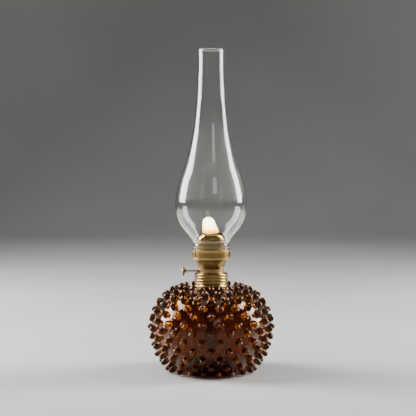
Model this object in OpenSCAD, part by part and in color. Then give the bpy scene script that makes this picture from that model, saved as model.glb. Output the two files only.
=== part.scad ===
// Table oil lamp with a flat wick: a studded glass font, a screw burner and a
// blown glass chimney. Millimetres, +Z up, the origin at the centre of the base.
// The wick's wide faces look along Y, and the wick raiser's knob points along -X.

/* [Font] */
// Widest diameter of the glass font, without its studs
font_d = 138.8; // [110:0.2:190]
// Height of the font's shoulder, where the collar sits
font_h = 101.6; // [80:0.2:140]
// Diameter of the flat ring that the font stands on
foot_d = 86; // [60:1:100]
// Height of the font's widest level, as a share of the shoulder's height
font_widest = 0.51; // [0.42:0.01:0.6]
// Thickness of the font's wall
font_wall = 4; // [3:0.25:6]
// Thickness of the font's floor
font_floor = 6; // [4:0.25:9]
// How deep the underside is dished inside the foot ring
foot_dish = 1.6; // [0.5:0.1:2.5]

/* [Studs] */
// Number of studs in each row
stud_count = 20; // [12:1:24]
// Number of rows of studs
stud_rows = 12; // [4:1:12]
// How far a stud stands out of the wall
stud_h = 7.4; // [4:0.2:9]
// Radius of a stud where it meets the wall
stud_foot_r = 4.3; // [3:0.1:4.6]
// Radius of a stud's round tip
stud_tip_r = 3.1; // [1.5:0.1:3.4]
// Distance between the rows, measured over the tips
stud_pitch = 11.05; // [9:0.05:11.5]

/* [Collar] */
// Height of the brass collar
collar_h = 16.4; // [12:0.2:22]
// Radius of the collar between its ribs
collar_r = 19.1; // [18.9:0.1:21]
// Bore of the collar's inner sleeve, which takes the burner's screw ring
collar_bore_d = 30.2; // [26:0.1:31]
// Thickness of the collar's sheet
collar_wall = 0.7; // [0.5:0.1:1]
// Depth of the collar's inner sleeve below its top face
collar_sleeve_h = 12; // [9:0.5:14]
// Thickness of the glass neck inside the collar
neck_wall = 1.8; // [1.2:0.1:2.2]

/* [Burner] */
// Thickness of the sealing washer under the burner's flange
seal_t = 0.5; // [0.3:0.1:1.5]
// Height that the screw ring reaches down into the collar
screw_h = 10; // [7:0.5:12]
// Radial gap between the screw ring and the collar's sleeve
screw_gap = 0.1; // [0.05:0.01:0.15]
// Thickness of the burner's brass sheet
sheet = 0.6; // [0.4:0.05:0.8]
// Height of the burner's cup, which carries the raiser shaft
cup_h = 4.2; // [4:0.1:8]
// Height of the slotted basket
basket_h = 12; // [9:0.5:18]
// Outer radius of the basket at its top
basket_top_r = 19.6; // [19:0.1:21]
// Number of slots in the basket
basket_slots = 48; // [24:2:60]
// Width of a slot in the basket
basket_slot_w = 1.2; // [0.8:0.1:1.2]

/* [Wick] */
// Width of the flat wick
wick_w = 16; // [12:0.5:18]
// Thickness of the flat wick
wick_t = 2.2; // [1.8:0.1:3]
// Gap between the wick and its tube on each side
wick_gap = 0.25; // [0.15:0.05:0.4]
// How far the wick stands above its tube
wick_above = 1.2; // [0.5:0.1:2]
// Height of the wick's lower end above the font's floor
wick_clear = 17; // [15:0.5:30]

/* [Wick raiser] */
// Diameter of the raiser shaft
shaft_d = 2.2; // [1.6:0.1:2.6]
// Radial running gap between the shaft and its bearings
shaft_gap = 0.05; // [0.02:0.01:0.09]
// Distance from the lamp's axis to the middle of the knob
knob_reach = 33.1; // [28:0.1:45]
// Diameter of the knob
knob_d = 11.8; // [9:0.2:14]
// Thickness of the knob's disc
knob_t = 2.2; // [1.6:0.1:3]
// Radius of the raiser wheels over their teeth
wheel_r = 4; // [3:0.1:4.4]
// Thickness of a raiser wheel
wheel_t = 1.4; // [1:0.1:2]
// Number of teeth on a raiser wheel
wheel_teeth = 12; // [8:1:16]

/* [Chimney] */
// Outer diameter of the chimney's foot, which the gallery grips
chimney_fit_d = 44.6; // [44:0.1:46]
// Diameter of the chimney's bulge
bulge_d = 86.4; // [70:0.2:104]
// Diameter of the chimney's top
chimney_top_d = 32.2; // [26:0.2:39]
// Length of the chimney
chimney_len = 249.2; // [205:0.2:300]
// Height of the bulge above the chimney's foot
bulge_h = 64.5; // [56:0.5:76]
// Height of the straight tube at the chimney's foot
fit_h = 18; // [14:0.5:20]
// Thickness of the chimney's glass
chimney_wall = 1.8; // [1.2:0.1:2.4]

/* [Gallery and dome] */
// Radial gap between the gallery's prongs and the chimney's foot
gallery_gap = 0.4; // [0.3:0.05:0.6]
// Height of the gallery
gallery_h = 11.6; // [9:0.1:17]
// Number of prongs that the slits cut the gallery's wall into
prong_count = 3; // [3:1:6]
// Width of a slit between two prongs
slit_w = 1.8; // [1:0.1:2.5]
// Turn of the slits about the lamp's axis
slit_turn = 97.4; // [0:0.1:120]
// Outer radius of the dome
dome_r = 17.2; // [16.8:0.1:18]
// Height of the dome above the gallery's floor
dome_h = 31.7; // [29:0.1:36]
// Radius of the dome's rounded shoulder
dome_round = 9.5; // [8:0.5:13]
// Length of the flame slot
slot_len = 22; // [20:0.5:24]
// Width of the flame slot
slot_w = 6.5; // [5:0.1:8]

/* [Hidden] */
$fn = 48;
eps = 0.01;
front = -90;
font_r = font_d / 2;
foot_r = foot_d / 2;
glass_step = 5;
stud_sunk = 0.6;
foot_ring_w = 6;

// Collar and neck: the sleeve hangs inside the glass neck, the outer wall hangs around it.
sleeve_r = collar_bore_d / 2;
sleeve_out_r = sleeve_r + collar_wall;
neck_gap = 0.2;
neck_r = sleeve_out_r + neck_gap + neck_wall;
neck_top = font_h + collar_h - 3;
skirt_in_r = collar_r - collar_wall;
collar_top = font_h + collar_h;
rib_count = 5;
first_rib = 1.6;
rib_pitch = (collar_h - first_rib - 1.2) / (rib_count - 1);
rib_r = 1.2;
rib_out = 1.1;
seat_r = collar_r + 2.4;

// Burner levels, from the collar up.
seal_top = collar_top + seal_t;
cup_z = seal_top + sheet;
basket_z = cup_z + cup_h;
basket_top = basket_z + basket_h;
rim_z = basket_top - sheet;
screw_r = sleeve_r - screw_gap;
cup_r = screw_r;
flange_r = cup_r + 1;
rim_in_r = basket_top_r - 1;
rim_out_r = basket_top_r + 0.8;
slot_bottom = basket_z + 2.4;
slot_top = rim_z - 0.9;
air_plate_z = basket_top - 5;

// Gallery, dome and chimney levels.
gallery_z = basket_top;
gallery_in_r = chimney_fit_d / 2 + gallery_gap;
gallery_out_r = gallery_in_r + sheet;
lip = 0.5;
lip_h = 1.2;
dome_z = gallery_z + sheet;
dome_flange_r = gallery_in_r - 0.2;
chimney_z = dome_z + sheet;
dome_top = dome_z + dome_h;
dome_gap = 0.1;
skirt_in_gallery_r = dome_r + dome_gap;
skirt_gap = 0.18;
// The skirt ends where the basket's sloping wall leaves it this gap.
gallery_skirt = basket_h * (basket_top_r - sheet - skirt_gap - skirt_in_gallery_r - sheet)
    / (basket_top_r - cup_r);
rivet_r = 0.9;
rivet_at = (dome_r + chimney_fit_d / 2 - chimney_wall) / 2;

// Wick tube, raiser box and shaft.
tube_in_w = wick_w + 2 * wick_gap;
tube_in_t = wick_t + 2 * wick_gap;
tube_out_w = tube_in_w + 2 * sheet;
tube_out_t = tube_in_t + 2 * sheet;
tube_top = dome_top - 5.5;
tube_bottom = collar_top - screw_h;
tube_corner = 0.3;
wick_top = tube_top + wick_above;
wick_bottom = font_floor + wick_clear;
bite_gap = 0.12;
wheel_y = -(wick_t / 2 + bite_gap + wheel_r);
wheel_x = wick_w / 4;
shaft_z = cup_z + cup_h / 2;
shaft_r = shaft_d / 2;
bearing_r = shaft_r + shaft_gap;
bush_r = bearing_r + 0.55;
bush_wall_x = sqrt(cup_r * cup_r - wheel_y * wheel_y);
bush_out = 3;
bush_in = 1.6;
box_gap = 0.4;
box_x = wheel_x + wheel_t / 2 + box_gap + sheet;
box_back = wheel_y - wheel_r - box_gap - sheet;
box_half = wheel_r + box_gap + sheet;
stop_t = 1.2;
stop_r = shaft_r + 1;
stop_room = 1.9;
shaft_end = box_x + 1.5;
knob_r = knob_d / 2;
knob_notches = 32;
vent_r = 1.6;
vent_wall = 0.3;
vent_y = tube_out_t / 2 + vent_r + 2.6;
vent_rise = 7;

function mix(a, b, t) = a + (b - a) * t;

// One point of a smooth curve through p1 and p2, t from 0 to 1 between them.
function curve_point(p0, p1, p2, p3, t) =
    (2 * p1 + (p2 - p0) * t + (2 * p0 - 5 * p1 + 4 * p2 - p3) * t * t
    + (3 * p1 - p0 - 3 * p2 + p3) * t * t * t) / 2;

// A smooth curve through a list of [radius, height] points.
function curve(pts, steps) = concat(
    [for (i = [0 : len(pts) - 2])
        for (s = [0 : steps - 1])
            curve_point(pts[max(i - 1, 0)], pts[i], pts[i + 1],
                pts[min(i + 2, len(pts) - 1)], s / steps)],
    [pts[len(pts) - 1]]);

// Unit vector that points out of a profile at point i, for a profile listed from bottom to top.
function outward(pts, i) =
    let (d = pts[min(i + 1, len(pts) - 1)] - pts[max(i - 1, 0)])
    [d[1], -d[0]] / norm(d);

function moved_out(pts, by) = [for (i = [0 : len(pts) - 1]) pts[i] + by * outward(pts, i)];

function reversed(pts) = [for (i = [len(pts) - 1 : -1 : 0]) pts[i]];

function arc(centre, r, from, to, steps) =
    [for (i = [0 : steps]) centre + r * [cos(mix(from, to, i / steps)), sin(mix(from, to, i / steps))]];

// Length of a profile from its last point down to point i.
function run_from_top(pts, i) =
    i >= len(pts) - 1 ? 0 : norm(pts[i + 1] - pts[i]) + run_from_top(pts, i + 1);

// Font: the outline of the wall without its studs, from the foot to the collar's seat.
widest_h = font_h * font_widest;
font_outline = curve([
    [foot_r, 0],
    [mix(foot_r, font_r, 0.455), widest_h * 0.25],
    [mix(foot_r, font_r, 0.795), widest_h * 0.55],
    [font_r, widest_h],
    [mix(seat_r, font_r, 0.971), mix(widest_h, font_h, 0.262)],
    [mix(seat_r, font_r, 0.804), mix(widest_h, font_h, 0.605)],
    [mix(seat_r, font_r, 0.5115), mix(widest_h, font_h, 0.857)],
    [seat_r, font_h]], glass_step);

// The curve through the middle of the studs' heads, and the run of each of its points from the top.
head_level = 0.65;
tip_outline = moved_out(font_outline, stud_h * head_level);
tip_run = [for (i = [0 : len(tip_outline) - 1]) run_from_top(tip_outline, i)];
first_row = 15;

// Place of a row of studs on the outline, as a point number with a fraction.
function row_place(run) =
    let (i = max([for (k = [0 : len(tip_run) - 1]) if (tip_run[k] > run) k]))
    i + (tip_run[i] - run) / (tip_run[i] - tip_run[i + 1]);

function on_outline(pts, place) =
    let (i = floor(place)) mix(pts[i], pts[min(i + 1, len(pts) - 1)], place - i);

// One stud: a tapered shaft with a round tip, set a little way into the wall.
module stud(size) {
    ball_r = stud_tip_r * size;
    ball_z = stud_h * size - ball_r;
    union() {
        translate([0, 0, -stud_sunk])
            cylinder(r1 = stud_foot_r * size, r2 = ball_r - 0.12, h = ball_z + stud_sunk);
        translate([0, 0, ball_z])
            sphere(r = ball_r);
    }
}

module stud_row(row) {
    place = row_place(first_row + row * stud_pitch);
    foot = on_outline(font_outline, place);
    tip = on_outline(tip_outline, place);
    out = (tip - foot) / norm(tip - foot);
    tilt = atan2(out[0], out[1]);
    size = min(1, 2 * PI * foot[0] / stud_count / (2 * stud_foot_r + 2));
    for (i = [0 : stud_count - 1])
        rotate([0, 0, front + (i + (row % 2) / 2) * 360 / stud_count])
            translate([foot[0], 0, foot[1]])
                rotate([0, tilt, 0])
                    stud(size);
}

module font_hollow() {
    inner = moved_out(font_outline, -font_wall);
    bore = sleeve_out_r + neck_gap;
    rotate_extrude()
        polygon(concat(
            [[0, font_floor], [foot_r - font_wall, font_floor]],
            [for (p = inner) if (p[1] > font_floor + 2 && p[0] > bore + 1) p],
            [[bore, font_h - font_wall], [bore, neck_top + 1], [0, neck_top + 1]]));
}

module font() {
    color([0.45, 0.17, 0.03, 0.75])
        difference() {
            rotate_extrude()
                polygon(concat(
                    [[0, foot_dish], [foot_r - foot_ring_w, foot_dish],
                     [foot_r - foot_ring_w + foot_dish, 0]],
                    font_outline,
                    [[neck_r, font_h], [neck_r, neck_top], [0, neck_top]]));
            font_hollow();
        }
}

// Studs: the same glass as the font, kept as a group of solids set into its wall.
module font_studs() {
    color([0.45, 0.17, 0.03, 0.75])
        for (row = [0 : stud_rows - 1])
            stud_row(row);
}

// Collar: an outer wall with ribs, a top face and an inner sleeve in one pressed piece.
module collar() {
    color([0.72, 0.55, 0.28])
        rotate_extrude()
            difference() {
                union() {
                    translate([sleeve_r, font_h])
                        square([collar_r - sleeve_r, collar_h]);
                    intersection() {
                        for (i = [0 : rib_count - 1])
                            translate([collar_r + rib_out - rib_r + (i == 0 ? 0.8 : 0),
                                       font_h + first_rib + i * rib_pitch])
                                circle(r = rib_r);
                        translate([sleeve_r, font_h])
                            square([collar_r, collar_h]);
                    }
                }
                translate([sleeve_out_r, font_h - 1])
                    square([skirt_in_r - sleeve_out_r, collar_h + 1 - collar_wall]);
                translate([0, font_h - 1])
                    square([sleeve_out_r + eps, collar_h + 1 - collar_sleeve_h]);
            }
}

module collar_cement() {
    color([0.86, 0.83, 0.76])
        rotate_extrude()
            polygon([[neck_r, font_h + 0.6], [skirt_in_r, font_h + 0.6],
                [skirt_in_r, collar_top - collar_wall], [sleeve_out_r, collar_top - collar_wall],
                [sleeve_out_r, neck_top], [neck_r, neck_top]]);
}

module ring(r_in, r_out, z, h) {
    translate([0, 0, z])
        rotate_extrude()
            translate([r_in, 0])
                square([r_out - r_in, h]);
}

module seal_washer() {
    color([0.35, 0.24, 0.15])
        ring(screw_r + 0.1, flange_r + 0.4, collar_top, seal_t);
}

// Screw ring: the threaded skirt inside the collar, shown plain, and the flange on the washer.
module screw_ring() {
    color([0.75, 0.58, 0.3])
        rotate_extrude()
            polygon([[screw_r - sheet, collar_top - screw_h], [screw_r, collar_top - screw_h],
                [screw_r, seal_top], [flange_r, seal_top], [flange_r, cup_z],
                [screw_r - sheet, cup_z]]);
}

// Cup: the burner's lower housing, with a floor that the wick tube passes through.
module burner_cup() {
    color([0.74, 0.57, 0.29])
        difference() {
            ring(0, cup_r, cup_z, cup_h);
            ring(0, cup_r - sheet, cup_z + sheet, cup_h);
            wick_prism(tube_out_w, tube_out_t, cup_z - 1, sheet + 2);
            translate([-box_x, box_back, cup_z - 1])
                cube([2 * box_x, -box_back, sheet + 2]);
            along_shaft(-box_x - stop_room)
                cylinder(r = stop_r + 0.3, h = stop_room + eps);
            translate([0, vent_y, cup_z - 1])
                cylinder(r = vent_r, h = sheet + 2);
            along_shaft(-cup_r - 1)
                cylinder(r = bush_r, h = cup_r / 2 + 1);
        }
}

// Radius of the basket's outer face at a height.
function basket_r(z) = mix(cup_r, basket_top_r, (z - basket_z) / (basket_top - basket_z));

module basket() {
    color([0.76, 0.59, 0.31])
        difference() {
            rotate_extrude()
                polygon([[cup_r - sheet, basket_z], [cup_r, basket_z],
                    [basket_r(rim_z), rim_z], [rim_out_r, rim_z], [rim_out_r, basket_top],
                    [rim_in_r, basket_top], [basket_r(rim_z) - sheet, rim_z]]);
            for (i = [0 : basket_slots - 1])
                rotate([0, 0, (i + 0.5) * 360 / basket_slots])
                    translate([cup_r - 3, -basket_slot_w / 2, slot_bottom])
                        cube([basket_top_r - cup_r + 6, basket_slot_w, slot_top - slot_bottom]);
        }
}

module air_plate() {
    plate_r = basket_r(air_plate_z) - 1.04 * sheet;
    color([0.7, 0.53, 0.27])
        difference() {
            ring(0, plate_r, air_plate_z, sheet);
            wick_prism(tube_out_w, tube_out_t, air_plate_z - 1, sheet + 2);
            for (ringno = [0 : 2])
                for (i = [0 : 11 + 6 * ringno])
                    rotate([0, 0, (i + 0.5) * 360 / (12 + 6 * ringno)])
                        translate([plate_r * (0.62 + 0.14 * ringno), 0, air_plate_z - 1])
                            if (abs(sin((i + 0.5) * 360 / (12 + 6 * ringno))) > 0.35 || ringno == 2)
                                cylinder(r = 0.8, h = sheet + 2);
        }
}

// A flat bar with cut corners along Z, the shape of the wick tube's section.
module wick_prism(w, t, z, h) {
    c = min(tube_corner, t / 3);
    translate([0, 0, z])
        linear_extrude(height = h)
            polygon([[w / 2 - c, -t / 2], [w / 2, -t / 2 + c], [w / 2, t / 2 - c], [w / 2 - c, t / 2],
                [-w / 2 + c, t / 2], [-w / 2, t / 2 - c], [-w / 2, -t / 2 + c], [-w / 2 + c, -t / 2]]);
}

module wick_tube() {
    color([0.73, 0.56, 0.28])
        difference() {
            wick_prism(tube_out_w, tube_out_t, tube_bottom, tube_top - tube_bottom);
            wick_prism(tube_in_w, tube_in_t, tube_bottom - 1, tube_top - tube_bottom + 2);
            for (side = [-1, 1])
                translate([side * wheel_x - wheel_t / 2 - box_gap, -tube_out_t, shaft_z - wheel_r])
                    cube([wheel_t + 2 * box_gap, tube_out_t, 2 * wheel_r]);
        }
}

module vent_tube() {
    color([0.7, 0.54, 0.28])
        translate([0, vent_y, collar_top - screw_h / 2])
            difference() {
                cylinder(r = vent_r, h = screw_h / 2 + vent_rise);
                translate([0, 0, -1])
                    cylinder(r = vent_r - vent_wall, h = screw_h / 2 + vent_rise + 2);
            }
}

// Places a shape that is drawn along +Z so that it starts at x = from on the raiser shaft.
module along_shaft(from) {
    translate([from, wheel_y, shaft_z])
        rotate([0, 90, 0])
            children();
}

// Raiser box: five walls around the wheels, open towards the wick tube.
module raiser_box() {
    color([0.7, 0.53, 0.27])
        difference() {
            translate([-box_x, box_back, shaft_z - box_half])
                cube([2 * box_x, -tube_out_t / 2 - box_back, 2 * box_half]);
            translate([-box_x + sheet, box_back + sheet, shaft_z - box_half + sheet])
                cube([2 * (box_x - sheet), -box_back, 2 * (box_half - sheet)]);
            along_shaft(-box_x - 1)
                cylinder(r = bearing_r, h = 2 * box_x + 2);
        }
}

module shaft_bushing() {
    color([0.78, 0.62, 0.34])
        along_shaft(-bush_wall_x - bush_out)
            difference() {
                cylinder(r = bush_r, h = bush_out + bush_in);
                translate([0, 0, -1])
                    cylinder(r = bearing_r, h = bush_out + bush_in + 2);
            }
}

module wick_shaft() {
    color([0.72, 0.7, 0.66])
        along_shaft(-knob_reach - knob_t / 2)
            cylinder(r = shaft_r, h = knob_reach + knob_t / 2 + shaft_end);
}

module shaft_stop() {
    color([0.7, 0.68, 0.62])
        along_shaft(-box_x - (stop_room - stop_t) / 2 - stop_t)
            difference() {
                cylinder(r = stop_r, h = stop_t);
                translate([0, 0, -1])
                    cylinder(r = shaft_r, h = stop_t + 2);
            }
}

module raiser_wheels() {
    root_r = wheel_r - 0.9;
    color([0.66, 0.64, 0.6])
        for (side = [-1, 1])
            along_shaft(side * wheel_x - wheel_t / 2)
                linear_extrude(height = wheel_t)
                    difference() {
                        polygon([for (i = [0 : 2 * wheel_teeth - 1])
                            (i % 2 == 0 ? wheel_r : root_r)
                            * [cos(i * 180 / wheel_teeth), sin(i * 180 / wheel_teeth)]]);
                        circle(r = shaft_r);
                    }
}

// Knob: a thin disc with a notched rim and a hub on the side of the burner.
module wick_knob() {
    notch = 0.35;
    hub_r = shaft_r + 1.3;
    hub_h = 2;
    color([0.76, 0.6, 0.32])
        along_shaft(-knob_reach - knob_t / 2)
            difference() {
                union() {
                    linear_extrude(height = knob_t)
                        polygon([for (i = [0 : 2 * knob_notches - 1])
                            (knob_r - (i % 2) * notch)
                            * [cos(i * 180 / knob_notches), sin(i * 180 / knob_notches)]]);
                    cylinder(r = hub_r, h = knob_t + hub_h);
                }
                translate([0, 0, -1])
                    cylinder(r = shaft_r, h = knob_t + hub_h + 2);
                ring(knob_r * 0.55, knob_r * 0.8, -1, 1.5);
            }
}

module knob_rivet() {
    head_r = shaft_r + 0.8;
    head_h = 0.9;
    color([0.7, 0.68, 0.62])
        along_shaft(-knob_reach - knob_t / 2 - head_h)
            cylinder(r1 = head_r - 0.7, r2 = head_r, h = head_h);
}

module wick() {
    color([0.92, 0.89, 0.8])
        translate([-wick_w / 2, -wick_t / 2, wick_bottom])
            cube([wick_w, wick_t, wick_top - wick_bottom]);
}

// Gallery: a floor, a wall cut into prongs, and a skirt that centres it in the basket.
module gallery() {
    skirt_r = skirt_in_gallery_r;
    top = gallery_z + gallery_h;
    color([0.77, 0.6, 0.31])
        difference() {
            rotate_extrude()
                polygon([[skirt_r, gallery_z - gallery_skirt],
                    [skirt_r + sheet, gallery_z - gallery_skirt], [skirt_r + sheet, gallery_z],
                    [gallery_out_r, gallery_z], [gallery_out_r, top - lip_h],
                    [gallery_out_r + lip, top], [gallery_in_r + lip, top],
                    [gallery_in_r, top - lip_h], [gallery_in_r, dome_z], [skirt_r, dome_z]]);
            for (i = [0 : prong_count - 1])
                rotate([0, 0, slit_turn + 360 * i / prong_count])
                    translate([gallery_in_r - 2, -slit_w / 2, gallery_z + 2.4])
                        cube([5, slit_w, gallery_h]);
            rivet_holes();
        }
}

module rivet_places() {
    for (i = [0 : prong_count - 1])
        rotate([0, 0, slit_turn + 360 * (i + 0.5) / prong_count])
            translate([rivet_at, 0, 0])
                children();
}

module rivet_holes() {
    rivet_places()
        translate([0, 0, gallery_z - 1])
            cylinder(r = rivet_r / 2, h = chimney_z - gallery_z + 2);
}

module gallery_rivets() {
    head_h = 0.5;
    color([0.8, 0.64, 0.36])
        rivet_places() {
            translate([0, 0, gallery_z])
                cylinder(r = rivet_r / 2, h = chimney_z - gallery_z + head_h / 2);
            translate([0, 0, chimney_z])
                cylinder(r1 = rivet_r, r2 = rivet_r * 0.6, h = head_h);
        }
}

// Dome: a thin cap on a flange, with the flame slot cut through its top along X.
module dome() {
    shoulder_z = dome_top - dome_round;
    module cap_profile(inset) {
        polygon(concat([[0, dome_z - 1], [dome_r - inset, dome_z - 1]],
            arc([dome_r - dome_round, shoulder_z], dome_round - inset, 0, 90, 8),
            [[0, dome_top - inset]]));
    }
    color([0.72, 0.55, 0.27])
        difference() {
            rotate_extrude()
                difference() {
                    union() {
                        cap_profile(0);
                        translate([0, dome_z])
                            square([dome_flange_r, sheet]);
                    }
                    cap_profile(sheet);
                    translate([0, dome_z - 2])
                        square([2 * dome_r, 2]);
                }
            translate([-slot_len / 2, -slot_w / 2, shoulder_z])
                cube([slot_len, slot_w, 2 * dome_round]);
            rivet_holes();
        }
}

// Chimney: the outline of its outer face, from its foot to its top.
fit_r = chimney_fit_d / 2;
bulge_r = bulge_d / 2;
top_r = chimney_top_d / 2;
chimney_outline = curve([
    [fit_r, 0],
    [fit_r, fit_h - 4],
    [fit_r + 1.1, fit_h + 4.2],
    [mix(fit_r, bulge_r, 0.77), mix(fit_h, bulge_h, 0.53)],
    [bulge_r, bulge_h],
    [mix(top_r, bulge_r, 0.82), mix(bulge_h, chimney_len, 0.155)],
    [mix(top_r, bulge_r, 0.52), mix(bulge_h, chimney_len, 0.285)],
    [mix(top_r, bulge_r, 0.218), mix(bulge_h, chimney_len, 0.48)],
    [mix(top_r, bulge_r, 0.07), mix(bulge_h, chimney_len, 0.675)],
    [top_r + 0.2, mix(bulge_h, chimney_len, 0.87)],
    [top_r, chimney_len]], 4);

module chimney() {
    color([0.9, 0.94, 0.96, 0.25])
        translate([0, 0, chimney_z])
            rotate_extrude()
                polygon(concat(chimney_outline,
                    reversed([for (p = chimney_outline) [p[0] - chimney_wall, p[1]]])));
}

font();
font_studs();
collar();
collar_cement();
seal_washer();
screw_ring();
burner_cup();
basket();
air_plate();
wick_tube();
vent_tube();
raiser_box();
shaft_bushing();
wick_shaft();
shaft_stop();
raiser_wheels();
wick_knob();
knob_rivet();
wick();
gallery();
gallery_rivets();
dome();
chimney();
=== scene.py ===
"""Studio scene of a table oil lamp with a studded amber glass font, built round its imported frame."""
import math
import random

import bmesh
import bpy
import numpy as np
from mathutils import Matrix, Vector


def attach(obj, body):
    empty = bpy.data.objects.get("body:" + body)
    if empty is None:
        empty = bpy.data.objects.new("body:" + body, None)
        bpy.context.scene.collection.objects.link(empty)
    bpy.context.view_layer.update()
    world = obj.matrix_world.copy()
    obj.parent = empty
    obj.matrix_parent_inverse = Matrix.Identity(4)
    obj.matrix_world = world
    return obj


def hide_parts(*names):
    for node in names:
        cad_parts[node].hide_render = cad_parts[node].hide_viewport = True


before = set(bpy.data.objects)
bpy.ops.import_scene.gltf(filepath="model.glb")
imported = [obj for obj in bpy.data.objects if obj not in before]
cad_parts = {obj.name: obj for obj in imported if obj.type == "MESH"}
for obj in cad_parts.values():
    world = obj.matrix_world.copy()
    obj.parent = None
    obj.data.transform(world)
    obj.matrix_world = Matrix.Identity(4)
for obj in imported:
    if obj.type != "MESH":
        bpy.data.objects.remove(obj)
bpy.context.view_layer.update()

rng = random.Random(7)
MM = 0.001
FRONT = -math.pi / 2            # angle of the lamp's front, about its axis

# ------------------------------------------------- sizes of the part, in millimetres
FONT_R = 69.4                   # the wall at its widest, without the studs
FONT_H = 101.6                  # top of the shoulder
WIDEST_H = FONT_H * 0.51
FOOT_R = 43.0
SEAT_R = 21.5                   # where the shoulder meets the collar
FONT_WALL = 4.0
FONT_FLOOR = 6.0
FOOT_DISH = 1.6                 # depth of the hollow under the foot
FOOT_RING = 6.0                 # width of the ring that the lamp stands on
NECK_R = 17.8
NECK_BORE_R = 16.0
NECK_TOP = 115.0

STUD_COUNT = 20                 # studs in a row
STUD_ROWS = 12
STUD_PITCH = 11.05              # from row to row, along the line through the studs' heads
FIRST_ROW = 15.0                # from the top of that line
HEAD_LEVEL = 0.65               # how far up the studs that line runs, as a share of their height
STUD_H = 7.4
STUD_FOOT_R = 4.3
STUD_NECK_R = 3.34              # just below the round tip
STUD_TIP_R = 3.1

COLLAR_TOP = 118.0
COLLAR_R = 19.1
COLLAR_WALL = 0.7
SLEEVE_R = 15.1                 # bore of the sleeve that takes the screw ring
SLEEVE_H = 12.0
RIBS = 5
RIB_R = 1.2
RIB_OUT = 1.1                   # how far a rib stands out of the collar
FIRST_RIB = 1.6                 # above the font's shoulder
RIB_PITCH = 3.4

SHEET = 0.6                     # thickness of the burner's sheet brass
SCREW_R = 15.0
SCREW_H = 10.0
THREAD_PITCH = 3.0
THREAD_DEPTH = 0.42
SEAL_TOP = 118.5
CUP_Z = 119.1
BASKET_Z = 123.3
BASKET_H = 12.0
BASKET_TOP_R = 19.6
SLOTS = 48
SLOT_W = 1.2

GALLERY_Z = 135.3
GALLERY_H = 11.6
GALLERY_R = 22.7
GALLERY_SKIRT = 2.35            # how far the skirt hangs below the gallery's floor
SKIRT_R = 17.3
SLITS = 3
SLIT_TURN = 97.4                # degrees from the right to the first slit
SLIT_W = 1.8
DOME_Z = 135.9
DOME_TOP = 167.6
DOME_R = 17.2
DOME_ROUND = 9.5
DOME_FLANGE_R = 22.5
FLAME_SLOT_LEN = 22.0
FLAME_SLOT_DEEP = 6.5

KNOB_X = -33.1
KNOB_R = 5.9
KNOB_T = 2.2
SHAFT_R = 1.1
SHAFT_Y = -5.22
SHAFT_Z = 121.2

CHIMNEY_Z = 136.5
CHIMNEY_LEN = 249.2
CHIMNEY_WALL = 1.8
FIT_R = 22.3                    # the straight foot that the gallery holds
FIT_H = 18.0
BULGE_R = 43.2
BULGE_H = 64.5
TOP_R = 16.1

WICK_W = 16.0
WICK_T = 2.2
WICK_BOTTOM = 23.0
WICK_TOP = 163.3
FLAME_FOOT = 163.5
FLAME_TIP = 185.9


# ------------------------------------------------- mesh helpers
def mix(a, b, t):
    return a + (b - a) * t


def curve(points, steps):
    """A smooth curve through [radius, height] points."""
    p = np.array(points, float)
    out = []
    for i in range(len(p) - 1):
        a, b, c, d = p[max(i - 1, 0)], p[i], p[i + 1], p[min(i + 2, len(p) - 1)]
        for s in range(steps):
            t = s / steps
            out.append((2 * b + (c - a) * t + (2 * a - 5 * b + 4 * c - d) * t * t
                        + (3 * b - a - 3 * c + d) * t ** 3) / 2)
    return np.array(out + [p[-1]])


def outward(pts):
    """Unit vectors that point out of an outline listed from bottom to top."""
    d = np.gradient(pts, axis=0)
    n = np.stack([d[:, 1], -d[:, 0]], 1)
    return n / np.linalg.norm(n, axis=1)[:, None]


def run_along(pts):
    """The length run along a line up to each of its points."""
    return np.concatenate([[0], np.cumsum(np.linalg.norm(np.diff(pts, axis=0), axis=1))])


def arc(cx, cz, r, start, end, steps):
    """Points of an arc in the radius-height plane, angles in degrees."""
    a = np.radians(np.linspace(start, end, steps + 1))
    return [[cx + r * math.cos(t), cz + r * math.sin(t)] for t in a]


def hoop(columns, n):
    """Faces between columns of n points each, all the way round; each column is a closed outline."""
    faces = []
    for c in range(columns):
        a, b = c * n, (c + 1) % columns * n
        for k in range(n):
            m = (k + 1) % n
            faces.append((a + k, a + m, b + m, b + k))
    return faces


def tube(rows, n, base=0):
    """Faces between rings of n points each, from the first ring to the last."""
    faces = []
    for k in range(rows - 1):
        a, b = base + k * n, base + (k + 1) * n
        for j in range(n):
            m = (j + 1) % n
            faces.append((a + j, a + m, b + m, b + j))
    return faces


def lathe(profile, segments):
    """Points and faces of a closed outline of [radius, height] points, swept a full turn."""
    pts = np.asarray(profile, float)
    angles = 2 * math.pi * np.arange(segments) / segments
    verts = np.concatenate([
        np.stack([pts[:, 0] * math.cos(a), pts[:, 0] * math.sin(a), pts[:, 1]], 1) for a in angles])
    return verts, hoop(segments, len(pts))


def joined(parts):
    """Points and faces of several shapes as those of one."""
    verts, faces, base = [], [], 0
    for v, f in parts:
        verts.append(np.asarray(v, float))
        faces += [tuple(base + i for i in face) for face in f]
        base += len(v)
    return np.concatenate(verts), faces


def link_object(name, data):
    obj = bpy.data.objects.new(name, data)
    bpy.context.scene.collection.objects.link(obj)
    return obj


def shade_smooth(mesh, sharp=None):
    """Smooth shading, apart from edges over so many degrees."""
    mesh.polygons.foreach_set("use_smooth", [True] * len(mesh.polygons))
    if sharp:
        mesh.set_sharp_from_angle(angle=math.radians(sharp))


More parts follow.
